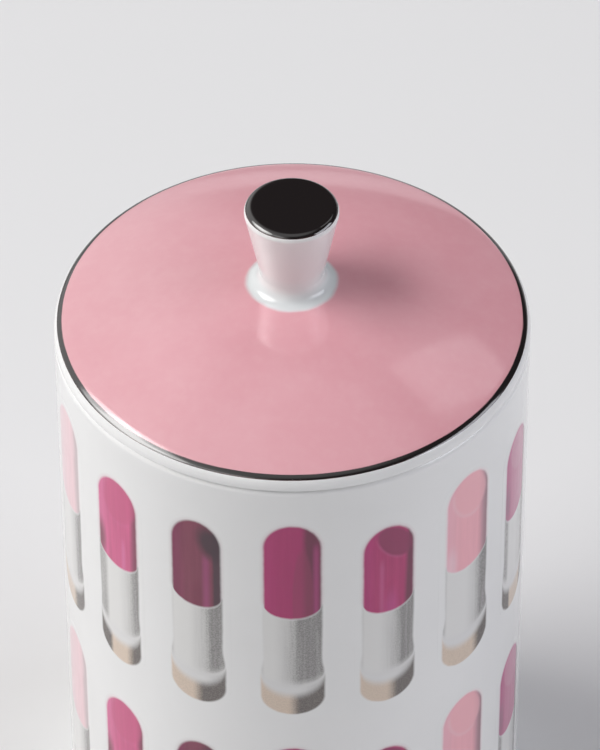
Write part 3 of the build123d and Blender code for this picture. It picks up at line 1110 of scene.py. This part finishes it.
# The room, with levels and sides as the x and z of a direction of length 1
PALE_ROOM = (0.70, 0.705, 0.715)  # what the camera sees, and reflections near level
ROOM_GLOW = (0.172, 0.172, 0.179)  # what lights matte surfaces
DARK_ROOM = (0.045, 0.043, 0.045)  # in reflections, above the horizon and right of the jar
LEFT_GLOW = (1.2, 1.19, 1.18)  # in reflections, left of the jar
OVERHEAD_GLOW = (0.7, 0.7, 0.7)  # in reflections, overhead
HORIZON_GLOW_TO = 5.6  # degrees above level that the pale room reaches in reflections
HORIZON_SOFTNESS = 1.22  # that level times this is where it has gone
LEFT_FROM, LEFT_FULL = 0.0, -0.4
OVERHEAD_FROM, OVERHEAD_FULL = 0.85, 0.99


def toward(azimuth, elevation):
    """Direction at an azimuth from the front towards +X and an elevation, both in degrees."""
    turned, raised = radians(azimuth), radians(elevation)
    return Vector((sin(turned) * cos(raised), -cos(turned) * cos(raised), sin(raised)))


def add_softbox(name, box, target):
    """Area light whose power is pi times its area times its radiance. An ellipse fills pi / 4 of
    the rectangle round it."""
    light = bpy.data.lights.new(name, "AREA")
    light.shape = box.shape
    light.size = 2.0 * box.distance * tan(radians(box.width / 2.0))
    light.size_y = 2.0 * box.distance * tan(radians(box.height / 2.0))
    filled = pi / 4.0 if box.shape == "ELLIPSE" else 1.0
    light.energy = pi * filled * light.size * light.size_y * box.radiance
    light.color = box.colour
    lamp = bpy.data.objects.new(name, light)
    direction = toward(box.azimuth, box.elevation)
    lamp.location = target + direction * box.distance
    lamp.rotation_euler = direction.to_track_quat("Z", "Y").to_euler()
    lamp.visible_camera = False
    bpy.context.scene.collection.objects.link(lamp)


def add_room():
    """World light: a pale room for the camera and a dim, even one for matte surfaces. Reflections see
    a room that is pale near level, dark above that, and bright at the left and overhead."""
    world = bpy.data.worlds.new("Studio")
    world.use_nodes = True
    bpy.context.scene.world = world
    w = Wiring(world.node_tree)
    sideways, _, up = w.split(w.flow(w.node("ShaderNodeTexCoord"), "Generated"))
    rays = w.node("ShaderNodeLightPath")
    level = sin(radians(HORIZON_GLOW_TO))
    mirrored = w.blend(w.fade(sideways, LEFT_FROM, LEFT_FULL), DARK_ROOM, LEFT_GLOW)
    mirrored = w.blend(w.fade(up, OVERHEAD_FROM, OVERHEAD_FULL), mirrored, OVERHEAD_GLOW)
    mirrored = w.blend(w.fade(up, level, level * HORIZON_SOFTNESS), PALE_ROOM, mirrored)
    seen = w.blend(w.flow(rays, "Is Glossy Ray"), ROOM_GLOW, mirrored)
    seen = w.blend(w.flow(rays, "Is Camera Ray"), seen, PALE_ROOM)
    w.feed(world.node_tree.nodes["Background"].inputs["Color"], seen)


def floor_material(colours):
    """Matte paper sweep with a faint tooth."""
    material, w, shader = new_material("Studio floor")
    tone = w.fade(w.noise(w.object_place(), 3.0), 0.3, 0.7, 0.99, 1.0)
    w.feed(shader.inputs["Base Color"], w.dimmed(colours.floor, tone))
    shader.inputs["Roughness"].default_value = 0.9
    shader.inputs["Specular IOR Level"].default_value = 0.1
    return material


class POWDERJAR_OT_stage(bpy.types.Operator):
    """Pale floor, soft studio light and the camera"""

    bl_idname = "powder_jar.stage"
    bl_label = "Studio Stage"

    def execute(self, context):
        stage, jar = sizes().stage, sizes().jar
        half = stage.floor_size / 2.0
        square = [(-half, -half, 0.0), (half, -half, 0.0), (half, half, 0.0), (-half, half, 0.0)]
        floor = add_mesh("studio_floor", square, [(0, 1, 2, 3)], {}, floor_material(sizes().colours))
        mouth = Vector((0.0, 0.0, jar.seat_height))
        for name, box in SOFTBOXES.items():
            add_softbox(name, box, mouth)
        add_room()
        camera = bpy.data.cameras.new("Camera")
        camera.lens = stage.lens
        camera.clip_end = 2.0 * stage.floor_size
        viewer = bpy.data.objects.new("Camera", camera)
        viewer.location = mouth + toward(0.0, degrees(stage.camera_elevation)) * stage.camera_distance
        aim = Vector((stage.aim_right, 0.0, stage.aim_height)) - viewer.location
        viewer.rotation_euler = aim.to_track_quat("-Z", "Y").to_euler()
        viewer.rotation_euler.rotate_axis("Z", stage.camera_roll)
        context.scene.collection.objects.link(viewer)
        context.scene.camera = viewer
        context.scene.view_settings.view_transform = "Standard"
        return {"FINISHED"}


# ---- Add-on ---------------------------------------------------------------------------------------

OPERATORS = (
    POWDERJAR_OT_stage,
    POWDERJAR_OT_body,
    POWDERJAR_OT_lid_plate,
    POWDERJAR_OT_coats,
    POWDERJAR_OT_knob,
    POWDERJAR_OT_prints,
)


class POWDERJAR_PT_sidebar(bpy.types.Panel):
    """Lists the jar's pieces and their sizes"""

    bl_idname = "POWDERJAR_PT_sidebar"
    bl_label = "Powder Jar"
    bl_space_type = "VIEW_3D"
    bl_region_type = "UI"
    bl_category = "Powder Jar"

    def draw(self, context):
        for operator in OPERATORS:
            self.layout.operator(operator.bl_idname)
        for name in PowderJar.__annotations__:
            box = self.layout.box()
            box.label(text=name.capitalize())
            group = getattr(context.scene.powder_jar, name)
            for size in type(group).__annotations__:
                box.prop(group, size)


GROUPS = (JarSizes, LidSizes, KnobSizes, PrintSizes, Colours, StageSizes, PowderJar)
CLASSES = (*GROUPS, *OPERATORS, POWDERJAR_PT_sidebar)


def register():
    for cls in CLASSES:
        bpy.utils.register_class(cls)
    bpy.types.Scene.powder_jar = PointerProperty(type=PowderJar)


def unregister():
    del bpy.types.Scene.powder_jar
    for cls in reversed(CLASSES):
        bpy.utils.unregister_class(cls)


def main():
    """Makes every piece and the stage."""
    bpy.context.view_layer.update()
    register()
    for operator in OPERATORS:
        group, name = operator.bl_idname.split(".")
        getattr(getattr(bpy.ops, group), name)()


if __name__ == "__main__":
    main()
